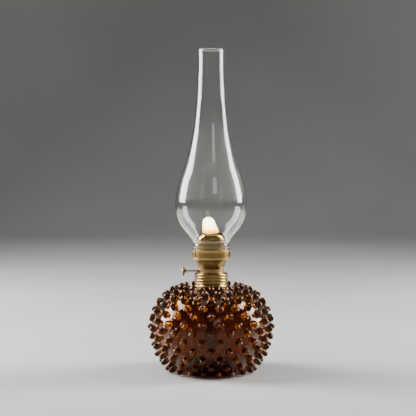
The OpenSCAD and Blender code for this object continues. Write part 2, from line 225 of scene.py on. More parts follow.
def add_piece(name, verts, faces, material, body, replaced=(), sharp=None, weld=0.0,
              raised=None):
    """Makes a smooth-shaded object from millimetre points and gives it its body.

    weld joins points that are this close, and raised is a number for each point that its material reads.
    """
    mesh = bpy.data.meshes.new(name)
    mesh.from_pydata([tuple(v) for v in np.asarray(verts, float) * MM], [], faces)
    if raised is not None:
        mesh.attributes.new("raised", "FLOAT", "POINT").data.foreach_set("value", raised)
    bm = bmesh.new()
    bm.from_mesh(mesh)
    if weld:
        bmesh.ops.remove_doubles(bm, verts=bm.verts, dist=weld * MM)
        bmesh.ops.dissolve_degenerate(bm, edges=bm.edges, dist=weld * MM)
    bmesh.ops.recalc_face_normals(bm, faces=bm.faces)
    bm.to_mesh(mesh)
    bm.free()
    shade_smooth(mesh, sharp)
    mesh.materials.append(material)
    obj = link_object(name, mesh)
    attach(obj, body)
    if replaced:
        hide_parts(*replaced)
    return obj


# ------------------------------------------------- materials
class Nodes:
    """A material with a Principled shader and short calls for its nodes."""

    def __init__(self, name):
        self.mat = bpy.data.materials.new(name)
        self.mat.use_nodes = True
        self.tree = self.mat.node_tree
        self.tree.nodes.clear()
        self.out = self.tree.nodes.new("ShaderNodeOutputMaterial")
        self.shader = self.tree.nodes.new("ShaderNodeBsdfPrincipled")
        self.link(self.shader.outputs["BSDF"], self.out.inputs["Surface"])
        self.coords = self.tree.nodes.new("ShaderNodeTexCoord").outputs["Object"]

    def link(self, a, b):
        self.tree.links.new(a, b)

    def feed(self, socket, value):
        """Links an input to another node's output, or sets it to a plain value."""
        if isinstance(value, bpy.types.NodeSocket):
            self.link(value, socket)
        else:
            socket.default_value = value

    def set(self, **values):
        """Feeds the shader's inputs, named with underscores for spaces."""
        for key, value in values.items():
            self.feed(self.shader.inputs[key.replace("_", " ")], value)

    def position(self):
        """The x, y and z outputs of the object's own coordinates, in metres."""
        node = self.tree.nodes.new("ShaderNodeSeparateXYZ")
        self.link(self.coords, node.inputs[0])
        return node.outputs

    def scaled(self, x, y, z):
        node = self.tree.nodes.new("ShaderNodeMapping")
        node.inputs["Scale"].default_value = (x, y, z)
        self.link(self.coords, node.inputs["Vector"])
        return node.outputs["Vector"]

    def attribute(self, name):
        node = self.tree.nodes.new("ShaderNodeAttribute")
        node.attribute_name = name
        return node.outputs["Fac"]

    def noise(self, scale, detail=4.0, rough=0.55, vector=None, distortion=0.0):
        node = self.tree.nodes.new("ShaderNodeTexNoise")
        node.inputs["Scale"].default_value = scale
        node.inputs["Detail"].default_value = detail
        node.inputs["Roughness"].default_value = rough
        node.inputs["Distortion"].default_value = distortion
        self.link(vector or self.coords, node.inputs["Vector"])
        return node.outputs["Fac"]

    def ramp(self, value, *stops):
        """A colour ramp; each stop is its place and its red, green and blue."""
        node = self.tree.nodes.new("ShaderNodeValToRGB")
        points = node.color_ramp.elements
        while len(points) > 1:
            points.remove(points[-1])
        for i, (at, colour) in enumerate(stops):
            point = points[0] if i == 0 else points.new(at)
            point.position = at
            point.color = (*colour, 1)
        self.link(value, node.inputs["Fac"])
        return node.outputs["Color"]

    def range(self, value, low, high, to_low, to_high):
        node = self.tree.nodes.new("ShaderNodeMapRange")
        limits = {"From Min": low, "From Max": high, "To Min": to_low, "To Max": to_high}
        for name, number in limits.items():
            node.inputs[name].default_value = number
        self.link(value, node.inputs["Value"])
        return node.outputs["Result"]

    def math(self, operation, a, b=0.0):
        node = self.tree.nodes.new("ShaderNodeMath")
        node.operation = operation
        self.feed(node.inputs[0], a)
        self.feed(node.inputs[1], b)
        return node.outputs["Value"]

    def ridges(self, along, pitch):
        """Rounded ridges of this pitch along a coordinate."""
        return self.math("ABSOLUTE", self.math("SINE", self.math("MULTIPLY", along, math.pi / pitch)))

    def blend(self, factor, a, b, mode="MIX"):
        """Mixes two colours, each a node's output or a plain red, green and blue."""
        node = self.tree.nodes.new("ShaderNodeMix")
        node.data_type = "RGBA"
        node.blend_type = mode
        self.feed(node.inputs[0], factor)
        for socket, colour in ((node.inputs[6], a), (node.inputs[7], b)):
            self.feed(socket, (*colour, 1) if isinstance(colour, tuple) else colour)
        return node.outputs[2]

    def bump(self, height, strength, distance, normal=None):
        node = self.tree.nodes.new("ShaderNodeBump")
        node.inputs["Strength"].default_value = strength
        node.inputs["Distance"].default_value = distance
        self.link(height, node.inputs["Height"])
        if normal is not None:
            self.link(normal, node.inputs["Normal"])
        return node.outputs["Normal"]


def shade(colour, factor):
    return tuple(factor * c for c in colour)


def brass(name, bright, dark, rough, tarnish, turned=True):
    """Lacquered sheet brass: turning or rolling lines, soft tarnish, dark specks and fine scratches."""
    m = Nodes(name)
    patches = m.noise(55.0, 6.0, 0.62, distortion=0.4)
    specks = m.noise(900.0, 3.0, 0.6)
    stain = m.ramp(patches, (0.36, (0, 0, 0)), (0.72, (tarnish, tarnish, tarnish)))
    colour = m.blend(stain, bright, dark)
    colour = m.blend(m.range(specks, 0.45, 0.8, 0.0, 0.25), colour, shade(dark, 0.6))
    lines = m.noise(1.0, 5.0, 0.6, m.scaled(40, 40, 9000) if turned else m.scaled(9000, 60, 60))
    roughness = m.math("ADD", m.range(patches, 0.3, 0.75, rough, rough + 0.16),
                       m.range(lines, 0.3, 0.7, 0.0, 0.08))
    scratches = m.noise(1.0, 2.0, 0.5, m.scaled(2600, 700, 350), distortion=1.2)
    normal = m.bump(lines, 0.10, 0.00008)
    normal = m.bump(m.range(scratches, 0.55, 0.75, 0.0, 1.0), 0.08, 0.00006, normal)
    m.set(Base_Color=colour, Metallic=1.0, Roughness=roughness, Normal=normal)
    return m.mat


def plated_steel():
    """Satin nickel plate with lines along the shaft."""
    m = Nodes("plated_steel")
    tone = (0.56, 0.55, 0.52)
    patches = m.noise(240.0, 5.0, 0.6)
    lines = m.noise(1.0, 4.0, 0.6, m.scaled(7000, 120, 120))
    m.set(Base_Color=m.ramp(patches, (0.3, shade(tone, 0.72)), (0.7, tone)), Metallic=1.0,
          Roughness=m.range(lines, 0.3, 0.7, 0.22, 0.4), Normal=m.bump(lines, 0.12, 0.00006))
    return m.mat


def amber_glass():
    """Pressed amber glass: fire-polished, a little wavy and streaky.

    The studs are painted darker than the wall at their sides, as painted shade, and lighter at their tips, as
    a painted highlight, in place of the light they bend as lenses.
    """
    m = Nodes("amber_glass")
    streaks = m.noise(1.0, 3.0, 0.55, m.scaled(22, 22, 60), distortion=0.6)
    wall = m.ramp(streaks, (0.25, (0.13, 0.034, 0.003)), (0.55, (0.20, 0.056, 0.005)),
                  (0.8, (0.31, 0.10, 0.009)))
    # painted shade and highlight: by height on the stud, this darkens its foot and sides and brightens its
    # tip past white
    stud = m.ramp(m.attribute("raised"), (0.0, (1.0, 1.0, 1.0)), (0.03, (0.35, 0.28, 0.25)),
                  (0.30, (0.34, 0.25, 0.20)), (0.60, (0.60, 0.48, 0.30)), (0.84, (1.7, 1.8, 1.2)),
                  (1.0, (2.8, 3.8, 2.2)))
    film = m.noise(130.0, 5.0, 0.6)
    wave = m.noise(60.0, 2.0, 0.5)
    grain = m.noise(700.0, 2.0, 0.5)
    normal = m.bump(wave, 0.12, 0.0012)
    normal = m.bump(grain, 0.05, 0.0001, normal)
    m.set(Base_Color=m.blend(1.0, wall, stud, "MULTIPLY"), Roughness=m.range(film, 0.35, 0.75, 0.01, 0.05),
          IOR=1.52, Transmission_Weight=1.0, Specular_Tint=(0.66, 0.44, 0.30, 1.0), Normal=normal)
    return m.mat


def clear_glass():
    """Blown chimney glass: clear, with long faint draw lines and a thin uneven film."""
    m = Nodes("clear_glass")
    draw = m.noise(1.0, 3.0, 0.5, m.scaled(70, 70, 9), distortion=0.3)
    film = m.noise(45.0, 6.0, 0.6)
    colour = m.ramp(film, (0.3, (0.93, 0.95, 0.94)), (0.7, (0.97, 0.98, 0.975)))
    m.set(Base_Color=colour, Roughness=m.range(film, 0.4, 0.8, 0.0, 0.035), IOR=1.48,
          Transmission_Weight=1.0, Normal=m.bump(draw, 0.10, 0.0012))
    return m.mat


def wick_cotton():
    """Woven cotton tape: warp cords and crossing picks with painted shade in the grooves between them,
    patches of oil, and charred at the top edge.
    """
    m = Nodes("wick_cotton")
    x, _, z = m.position()
    cords, picks = m.ridges(x, 1.15 * MM), m.ridges(z, 0.8 * MM)
    weave = m.math("MULTIPLY", cords, m.math("ADD", m.math("MULTIPLY", picks, 0.45), 0.55))
    fuzz = m.noise(2600.0, 3.0, 0.7)
    soft = m.noise(120.0, 4.0, 0.6)
    # painted shade: the cloth is darker where the weave is low, in the grooves between cords and picks
    groove_shaded_cloth = m.ramp(weave, (0.0, (0.42, 0.35, 0.24)), (0.5, (0.72, 0.66, 0.52)), (1.0, (0.86, 0.82, 0.70)))
    groove_shaded_cloth = m.blend(m.range(soft, 0.4, 0.8, 0.0, 0.4), groove_shaded_cloth, (0.55, 0.43, 0.26))
    edge = m.math("ADD", z, m.range(m.noise(500.0, 3.0, 0.6), 0.3, 0.7, -0.6 * MM, 0.6 * MM))
    char = m.range(edge, (WICK_TOP - 4.5) * MM, (WICK_TOP - 1.2) * MM, 0.0, 1.0)
    normal = m.bump(weave, 0.8, 0.00025)
    normal = m.bump(fuzz, 0.4, 0.0001, normal)
    m.set(Base_Color=m.blend(char, groove_shaded_cloth, (0.022, 0.018, 0.015)),
          Roughness=m.range(soft, 0.3, 0.7, 0.72, 0.95), Normal=normal, Sheen_Weight=0.25)
    return m.mat


def flame_glow():
    """A steady kerosene flame: a dark root, a near-white heart, and yellow at its sides and tip."""
    m = Nodes("flame_glow")
    x, _, z = m.position()
    tip = FLAME_TIP * MM
    level = m.range(z, 163.0 * MM, tip, 0.0, 1.0)
    level = m.math("ADD", level, m.range(m.noise(160.0, 2.0, 0.5), 0.3, 0.7, -0.04, 0.04))
    leaning_x = m.math("ADD", x, m.range(z, 168.0 * MM, tip, 1.3 * MM, 4.0 * MM))
    side = m.math("ABSOLUTE", m.range(leaning_x, -8.5 * MM, 8.5 * MM, -1.0, 1.0))
    colour = m.ramp(level, (0.0, (0.02, 0.01, 0.04)), (0.17, (0.22, 0.05, 0.03)),
                    (0.26, (0.60, 0.28, 0.05)), (0.40, (1.0, 0.72, 0.22)), (0.60, (1.0, 0.90, 0.62)),
                    (0.88, (1.0, 0.88, 0.52)), (1.0, (0.7, 0.46, 0.10)))
    colour = m.blend(m.range(side, 0.66, 1.0, 0.0, 0.9), colour, (0.50, 0.30, 0.05))
    m.set(Base_Color=(0.9, 0.6, 0.3, 1.0), Roughness=1.0, Emission_Color=colour, Emission_Strength=9.0)
    return m.mat


def plaster():
    m = Nodes("plaster")
    grains = m.noise(800.0, 6.0, 0.7)
    m.set(Base_Color=m.ramp(grains, (0.3, (0.62, 0.58, 0.5)), (0.7, (0.82, 0.79, 0.71))), Roughness=0.9,
          Normal=m.bump(grains, 0.5, 0.0002))
    return m.mat


def seal_leather():
    m = Nodes("seal_leather")
    grain = m.tree.nodes.new("ShaderNodeTexVoronoi")
    grain.inputs["Scale"].default_value = 1400.0
    m.link(m.coords, grain.inputs["Vector"])
    tone = m.noise(300.0, 4.0, 0.6)
    m.set(Base_Color=m.ramp(tone, (0.3, (0.09, 0.05, 0.03)), (0.7, (0.22, 0.13, 0.075))), Roughness=0.6,
          Normal=m.bump(grain.outputs["Distance"], 0.5, 0.0001))
    return m.mat


def studio_paper():
    m = Nodes("studio_paper")
    grain = m.noise(3.0, 4.0, 0.5)
    m.set(Base_Color=m.ramp(grain, (0.3, (0.37, 0.366, 0.36)), (0.7, (0.40, 0.396, 0.39))),
          Roughness=m.range(grain, 0.3, 0.7, 0.42, 0.5), Normal=m.bump(m.noise(400.0, 3.0), 0.03, 0.0005))
    return m.mat


AMBER = amber_glass()
CLEAR = clear_glass()
COTTON = wick_cotton()
FLAME = flame_glow()
SPUN = brass("spun_brass", (0.45, 0.295, 0.10), (0.12, 0.08, 0.03), 0.09, 0.6)
AGED = brass("aged_brass", (0.42, 0.27, 0.10), (0.12, 0.07, 0.03), 0.20, 0.6)
PLAIN = brass("sheet_brass", (0.48, 0.32, 0.12), (0.16, 0.10, 0.04), 0.16, 0.5, turned=False)
STEEL = plated_steel()
PLASTER = plaster()
LEATHER = seal_leather()

KEPT_NODES = {                  # the CAD pieces that stay, each with its material
    "burner_cup": AGED, "air_plate": AGED,
    "wick_tube": PLAIN, "vent_tube": PLAIN, "raiser_box": PLAIN, "shaft_bushing": PLAIN,
    "gallery_rivets": PLAIN,
    "wick_shaft": STEEL, "shaft_stop": STEEL, "raiser_wheels": STEEL, "knob_rivet": STEEL,
    "collar_cement": PLASTER, "seal_washer": LEATHER}
for node, material in KEPT_NODES.items():
    node_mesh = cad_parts[node].data
    node_mesh.materials.clear()
    node_mesh.materials.append(material)


# ------------------------------------------------- font: one pressed glass piece with its studs
CELL_ACROSS, CELL_DOWN = 6, 6   # edges along each side of the cell of wall round a stud
CELL_RINGS = 3                  # rings between a cell's edge and its stud


def font_outline(steps):
    return curve([
        [FOOT_R, 0],
        [mix(FOOT_R, FONT_R, 0.455), WIDEST_H * 0.25],
        [mix(FOOT_R, FONT_R, 0.795), WIDEST_H * 0.55],
        [FONT_R, WIDEST_H],
        [mix(SEAT_R, FONT_R, 0.971), mix(WIDEST_H, FONT_H, 0.262)],
        [mix(SEAT_R, FONT_R, 0.804), mix(WIDEST_H, FONT_H, 0.605)],
        [mix(SEAT_R, FONT_R, 0.5115), mix(WIDEST_H, FONT_H, 0.857)],
        [SEAT_R, FONT_H]], steps)


class Wall:
    """The font's outer wall as a line from collar to foot, read at s millimetres down along it."""

    def __init__(self):
        self.line = font_outline(50)[::-1]
        self.run = run_along(self.line)
        self.axes = -outward(self.line)
        self.length = self.run[-1]

    def radius(self, s):
        return np.interp(s, self.run, self.line[:, 0])

    def at(self, s):
        return [float(self.radius(s)), float(np.interp(s, self.run, self.line[:, 1]))]

    def axis(self, s):
        return np.interp(s, self.run, self.axes[:, 0]), np.interp(s, self.run, self.axes[:, 1])

    def place(self, angle, s):
        r, z = self.radius(s), np.interp(s, self.run, self.line[:, 1])
        return np.stack([r * np.cos(angle), r * np.sin(angle), z], -1)

    def stud_rows(self):
        """Where each row of studs stands, and the edges between their cells."""
        head_run = run_along(self.line + self.axes * STUD_H * HEAD_LEVEL)
        rows = [float(np.interp(FIRST_ROW + STUD_PITCH * r, head_run, self.run)) for r in range(STUD_ROWS)]
        edges = [rows[0] - (rows[1] - rows[0]) / 2]
        edges += [(a + b) / 2 for a, b in zip(rows, rows[1:])]
        edges += [min(rows[-1] + (rows[-1] - rows[-2]) / 2, self.length - 1.5)]
        return rows, edges


def stud_outline():
    """Radius and height above the wall, from the fillet at a stud's foot nearly to the top of its tip."""
    ball_z = STUD_H - STUD_TIP_R
    foot = [(5.0, 0.0), (4.5, 0.2), (4.18, 0.72), (3.98, 1.4), (3.78, 2.4), (3.56, 3.4)]
    tip = [(STUD_NECK_R * math.cos(t), ball_z + STUD_TIP_R * math.sin(t))
           for t in np.radians([14, 29, 44, 59, 75])]
    return foot + [(STUD_NECK_R, ball_z)] + tip


def cell_edge():
    """A cell's edge, anticlockwise from the middle of its right side, from -1 to 1 across and down it."""
    half = CELL_DOWN // 2
    edge = [(1.0, k / half) for k in range(half)]
    edge += [(1 - 2 * k / CELL_ACROSS, 1.0) for k in range(CELL_ACROSS)]
    edge += [(-1.0, 1 - k / half) for k in range(CELL_DOWN)]
    edge += [(-1 + 2 * k / CELL_ACROSS, -1.0) for k in range(CELL_ACROSS)]
    edge += [(1.0, -1 + k / half) for k in range(half)]
    return np.array(edge)


class FontMesh:
    """Points and faces gathered patch by patch, with each point's height on its stud, 0 to 1, in raised."""

    def __init__(self):
        self.verts, self.faces, self.raised = [], [], []
        self.size = 0

    def add_points(self, points, raised):
        """Adds points and gives the number of the first."""
        first = self.size
        self.verts.append(points)
        self.raised += raised
        self.size += len(points)
        return first

    def add_stud(self, rings, tip):
        """A stud in its cell: rings from the cell's edge to near the tip, then the tip."""
        count = len(rings[0])
        raised = [0.0] * (CELL_RINGS * count)
        raised += [h / STUD_H for _, h in stud_outline() for _ in range(count)] + [1.0]
        first = self.add_points(np.concatenate(rings + [tip]), raised)
        self.faces += tube(len(rings), count, first)
        last, top = first + (len(rings) - 1) * count, first + len(rings) * count
        self.faces += [(last + j, last + (j + 1) % count, top) for j in range(count)]

    def add_rings(self, outline):
        """Plain rings through [radius, height] points, closed at the last point, which is on the axis."""
        columns = STUD_COUNT * CELL_ACROSS
        angles = FRONT + np.arange(columns) * 2 * math.pi / columns
        rings = [np.stack([r * np.cos(angles), r * np.sin(angles), np.full(columns, z)], 1)
                 for r, z in outline[:-1]]
        centre = np.array([[0.0, 0.0, outline[-1][1]]])
        points = np.concatenate(rings + [centre])
        first = self.add_points(points, [0.0] * len(points))
        self.faces += tube(len(rings), columns, first)
        last, middle = first + (len(rings) - 1) * columns, first + len(rings) * columns
        self.faces += [(last + c, last + (c + 1) % columns, middle) for c in range(columns)]


def add_studs(mesh, wall, rows, edges):
    """Every stud and its cell of wall, row by row from the collar down, each row half a step round."""
    edge = cell_edge()
    turn = np.arange(len(edge)) * 2 * math.pi / len(edge)
    outline = stud_outline()
    half = math.pi / STUD_COUNT
    edge_angle = edge[:, 0] * half
    for r, level in enumerate(rows):
        room = 2 * math.pi * wall.at(level)[0] / STUD_COUNT
        size = min(1.0, room / (2 * STUD_FOOT_R + 2))
        axis_r, axis_z = wall.axis(level)
        above, below = level - edges[r], edges[r + 1] - level
        edge_run = np.where(edge[:, 1] > 0, -edge[:, 1] * above, -edge[:, 1] * below)

        def circle(radius):
            """The angle and the run, from the stud's middle, of a circle on the wall round it."""
            ring_run = -radius * size * np.sin(turn)
            return radius * size * np.cos(turn) / wall.radius(level + ring_run), ring_run

        flare_angle, flare_run = circle(outline[0][0])
        for i in range(STUD_COUNT):
            middle = FRONT + (i + (r % 2) / 2) * 2 * half
            axis = np.array([axis_r * math.cos(middle), axis_r * math.sin(middle), axis_z])
            height = 1 + rng.uniform(-0.012, 0.012)
            rings = []
            for k in range(CELL_RINGS):
                t = k / CELL_RINGS
                rings.append(wall.place(middle + mix(edge_angle, flare_angle, t),
                                        level + mix(edge_run, flare_run, t)))
            for radius, h in outline:
                ring_angle, ring_run = circle(radius)
                rings.append(wall.place(middle + ring_angle, level + ring_run) + axis * h * size * height)
            tip = wall.place(np.array([middle]), np.array([level])) + axis * STUD_H * size * height
            mesh.add_stud(rings, tip)


def build_font():
    """The studded wall; shoulder, neck and inside as one run of rings; foot and underside as another."""
    wall = Wall()
    rows, edges = wall.stud_rows()
    mesh = FontMesh()
    add_studs(mesh, wall, rows, edges)

    shoulder = [wall.at(s) for s in np.linspace(edges[0], 1.2, 6)]
    lip = 0.5
    neck = [[SEAT_R - 1.2, FONT_H + 0.1], [NECK_R + 0.6, FONT_H + 0.15], [NECK_R, FONT_H + 0.8],
            [NECK_R, NECK_TOP - lip], [NECK_R - lip, NECK_TOP], [NECK_BORE_R + lip, NECK_TOP],
            [NECK_BORE_R, NECK_TOP - lip]]
    neck += [[NECK_BORE_R, mix(NECK_TOP - lip, FONT_H - FONT_WALL + 2, t)] for t in (0.33, 0.66, 1.0)]
    outer = font_outline(10)
    inner = outer - outward(outer) * FONT_WALL
    inner = [p.tolist() for p in inner if p[1] > FONT_FLOOR + 5 and p[0] > NECK_BORE_R + 2.5][::-1]
    low = inner[-1]
    corner = curve([inner[-2], low, [low[0] - 3.6, FONT_FLOOR + 1.3], [low[0] - 9, FONT_FLOOR + 0.2],
                    [low[0] - 16, FONT_FLOOR]], 5)[6:]
    floor = [[r, FONT_FLOOR] for r in (18, 8, 0)]
    mesh.add_rings(shoulder + neck + inner + corner.tolist() + floor)

    foot = [wall.at(s) for s in np.linspace(edges[-1], wall.length - 0.8, 5)]
    ring_in = FOOT_R - FOOT_RING
    under = [[FOOT_R - 0.35, 0.12], [FOOT_R - 1.0, 0.0], [ring_in + FOOT_DISH + 0.6, 0.0],
             [ring_in + FOOT_DISH - 0.4, 0.35], [ring_in, FOOT_DISH - 0.25], [ring_in - 1.2, FOOT_DISH]]
    under += [[r, FOOT_DISH] for r in (24, 12, 0)]
    mesh.add_rings(foot + under)
    add_piece("font_glass", np.concatenate(mesh.verts), mesh.faces, AMBER, "font", ("font", "font_studs"),
              weld=0.002, raised=mesh.raised)


# ------------------------------------------------- chimney: blown clear glass
def build_chimney():
    outer = curve([
        [FIT_R, 0], [FIT_R, FIT_H - 4], [FIT_R + 1.1, FIT_H + 4.2],
        [mix(FIT_R, BULGE_R, 0.77), mix(FIT_H, BULGE_H, 0.53)],
        [BULGE_R, BULGE_H],
        [mix(TOP_R, BULGE_R, 0.82), mix(BULGE_H, CHIMNEY_LEN, 0.155)],
        [mix(TOP_R, BULGE_R, 0.52), mix(BULGE_H, CHIMNEY_LEN, 0.285)],
        [mix(TOP_R, BULGE_R, 0.218), mix(BULGE_H, CHIMNEY_LEN, 0.48)],
        [mix(TOP_R, BULGE_R, 0.07), mix(BULGE_H, CHIMNEY_LEN, 0.675)],
        [TOP_R + 0.2, mix(BULGE_H, CHIMNEY_LEN, 0.87)],
        [TOP_R, CHIMNEY_LEN]], 12)
    inner = outer - np.array([CHIMNEY_WALL, 0])
    r = CHIMNEY_WALL / 2
    top = arc(TOP_R - r, CHIMNEY_LEN - r, r, 20, 160, 6)
    foot = arc(FIT_R - r, r, r, 200, 340, 6)
    between = (outer[:, 1] > r) & (outer[:, 1] < CHIMNEY_LEN - r)
    profile = np.array(outer[between].tolist() + top + inner[between].tolist()[::-1] + foot)
    verts, faces = lathe(profile + np.array([0, CHIMNEY_Z]), 144)
    add_piece("chimney_glass", verts, faces, CLEAR, "chimney", ("chimney",))


# ------------------------------------------------- burner and collar: turned and cut brass
def box_part(centre, size, turn=0.0):
    """Points and faces of a box that is turned about the vertical axis through the origin."""
    x, y, z = centre
    a, b, c = (k / 2 for k in size)
    points = np.array([(x + i * a, y + j * b, z + k * c) for k in (-1, 1) for j in (-1, 1) for i in (-1, 1)])
    cos, sin = math.cos(turn), math.sin(turn)
    points[:, :2] = points[:, :2] @ np.array([[cos, sin], [-sin, cos]])
    return points, [(0, 2, 3, 1), (4, 5, 7, 6), (0, 1, 5, 4), (2, 6, 7, 3), (0, 4, 6, 2), (1, 3, 7, 5)]


def cut(obj, boxes):
    """Cuts boxes out of a piece."""
    verts, faces = joined(boxes)
    mesh = bpy.data.meshes.new("cutter")
    mesh.from_pydata([tuple(v) for v in verts * MM], [], faces)
    cutter = link_object("cutter", mesh)
    modifier = obj.modifiers.new("cut", "BOOLEAN")
    modifier.operation = "DIFFERENCE"
    modifier.solver = "EXACT"
    modifier.object = cutter
    made = bpy.data.meshes.new_from_object(obj.evaluated_get(bpy.context.evaluated_depsgraph_get()))
    obj.modifiers.clear()
    obj.data = made
    bpy.data.objects.remove(cutter)
    shade_smooth(made, 32)


def soften(obj, width, segments):
    """Rounds a piece's sharp edges."""
    bevel = obj.modifiers.new("soft_edges", "BEVEL")
    bevel.width = width * MM
    bevel.segments = segments
    bevel.limit_method = "ANGLE"
    bevel.angle_limit = math.radians(40)


def build_collar():
    """Five rolled ribs round the neck, a flat top and the sleeve that hangs in the bore."""
    outline = [[COLLAR_R - COLLAR_WALL, FONT_H + 0.3], [COLLAR_R + 0.6, FONT_H + 0.05],
               [COLLAR_R + 1.4, FONT_H + 0.25]]
    for i in range(RIBS):
        first, last = i == 0, i == RIBS - 1
        out = RIB_OUT - RIB_R + (0.8 if first else 0)
        z = FONT_H + FIRST_RIB + i * RIB_PITCH
        outline += arc(COLLAR_R + out, z, RIB_R, -50 if first else -64, 90 if last else 64, 9)
    sleeve_low = COLLAR_TOP - SLEEVE_H
    outline += [[COLLAR_R - 1.2, COLLAR_TOP], [SLEEVE_R + 0.6, COLLAR_TOP],
                [SLEEVE_R + 0.15, COLLAR_TOP - 0.2], [SLEEVE_R, COLLAR_TOP - 0.7],
                [SLEEVE_R, sleeve_low + 0.2], [SLEEVE_R + COLLAR_WALL / 2, sleeve_low],
                [SLEEVE_R + COLLAR_WALL, sleeve_low + 0.2],
                [SLEEVE_R + COLLAR_WALL, COLLAR_TOP - COLLAR_WALL],
                [COLLAR_R - COLLAR_WALL, COLLAR_TOP - COLLAR_WALL]]
    verts, faces = lathe(outline, 144)
    add_piece("collar_shell", verts, faces, SPUN, "font", ("collar",), sharp=50)


def build_screw_ring():
    """The flange on the washer and a rolled thread below it."""
    columns = 120
    low = COLLAR_TOP - SCREW_H
    heights = np.linspace(low + 0.1, COLLAR_TOP - 0.9, 56)

    def groove(z, a):
        """Depth of the thread at a height and an angle; it runs out at both ends."""
        fade = min(1.0, (z - low) / 1.2, (COLLAR_TOP - 0.6 - z) / 1.2)
        wave = 0.5 - 0.5 * math.cos(2 * math.pi * (z - low) / THREAD_PITCH - a)
        return THREAD_DEPTH * wave * max(fade, 0.0)

    verts = []
    for c in range(columns):
        a = 2 * math.pi * c / columns
        profile = [(SCREW_R - SHEET, low), (SCREW_R - 0.2, low)]
        profile += [(SCREW_R - 0.02 - groove(z, a), z) for z in heights]
        profile += [(SCREW_R, SEAL_TOP), (SCREW_R + 0.8, SEAL_TOP), (SCREW_R + 1.0, SEAL_TOP + 0.2),
                    (SCREW_R + 1.0, CUP_Z - 0.2), (SCREW_R + 0.8, CUP_Z), (SCREW_R - SHEET, CUP_Z)]
        profile += [(SCREW_R - SHEET - groove(z, a), z) for z in heights[::-4]]
        verts += [(r * math.cos(a), r * math.sin(a), z) for r, z in profile]
    faces = hoop(columns, len(profile))
    add_piece("screw_thread", verts, faces, SPUN, "burner", ("screw_ring",), sharp=50)


def build_basket():
    """The cone with its upright air slots and the flat rim that carries the gallery."""
    rim_z, top = BASKET_Z + BASKET_H - SHEET, BASKET_Z + BASKET_H

    def wall_r(z):
        return mix(SCREW_R, BASKET_TOP_R, (z - BASKET_Z) / BASKET_H)

    levels = np.linspace(BASKET_Z, rim_z - 0.3, 6)
    outline = [[wall_r(z), z] for z in levels]
    outline += [[wall_r(rim_z) + 0.2, rim_z], [BASKET_TOP_R + 0.6, rim_z], [BASKET_TOP_R + 0.8, rim_z + 0.15],
                [BASKET_TOP_R + 0.8, top - 0.15], [BASKET_TOP_R + 0.6, top], [BASKET_TOP_R - 1, top]]
    outline += [[wall_r(z) - SHEET, z] for z in levels[::-1]]
    verts, faces = lathe(outline, 192)
    obj = add_piece("air_basket", verts, faces, SPUN, "burner", ("basket",), sharp=40)
    low, high = BASKET_Z + 2.4, rim_z - 0.9
    centre, size = ((SCREW_R + BASKET_TOP_R) / 2, 0, (low + high) / 2), (10, SLOT_W, high - low)
    cut(obj, [box_part(centre, size, (i + 0.5) * 2 * math.pi / SLOTS) for i in range(SLOTS)])


def build_gallery():
    """The ring that grips the chimney: a skirt below, a rolled lip above and three upright slits."""
    top, lip, lip_h = GALLERY_Z + GALLERY_H, 0.5, 1.2
    inner, outer = GALLERY_R, GALLERY_R + SHEET
    skirt = GALLERY_Z - GALLERY_SKIRT
    outline = [[SKIRT_R + SHEET, skirt], [SKIRT_R + SHEET, GALLERY_Z - 0.2],
               [SKIRT_R + SHEET + 0.3, GALLERY_Z], [outer - 0.7, GALLERY_Z],
               [outer - 0.2, GALLERY_Z + 0.15], [outer, GALLERY_Z + 0.65]]
    outline += [[outer, GALLERY_Z + h] for h in (2.4, 5.0, 7.5, GALLERY_H - lip_h - 0.5)]
    outline += [[outer + 0.12, top - lip_h], [outer + lip, top - 0.55], [outer + lip + 0.08, top - 0.25],
                [outer + lip - 0.05, top - 0.05], [outer + lip - 0.35, top], [inner + lip + 0.12, top - 0.12],
                [inner + lip, top - 0.4], [inner + 0.12, top - lip_h - 0.1], [inner, top - lip_h - 0.6]]
    outline += [[inner, GALLERY_Z + h] for h in (7.5, 5.0, 2.4, 1.2)]
    outline += [[inner - 0.15, GALLERY_Z + SHEET + 0.12], [inner - 0.5, GALLERY_Z + SHEET],
                [SKIRT_R + 0.5, GALLERY_Z + SHEET], [SKIRT_R + 0.1, GALLERY_Z + SHEET - 0.2],
                [SKIRT_R, GALLERY_Z + 0.1], [SKIRT_R, skirt]]
    verts, faces = lathe(outline, 180)
    obj = add_piece("chimney_gallery", verts, faces, SPUN, "gallery", ("gallery",), sharp=40)
    slit_low, slit_h = GALLERY_Z + 2.4, 20
    centre, size = (GALLERY_R + 0.5, 0, slit_low + slit_h / 2), (5, SLIT_W, slit_h)
    cut(obj, [box_part(centre, size, math.radians(SLIT_TURN + 360 / SLITS * i)) for i in range(SLITS)])
    soften(obj, 0.1, 2)


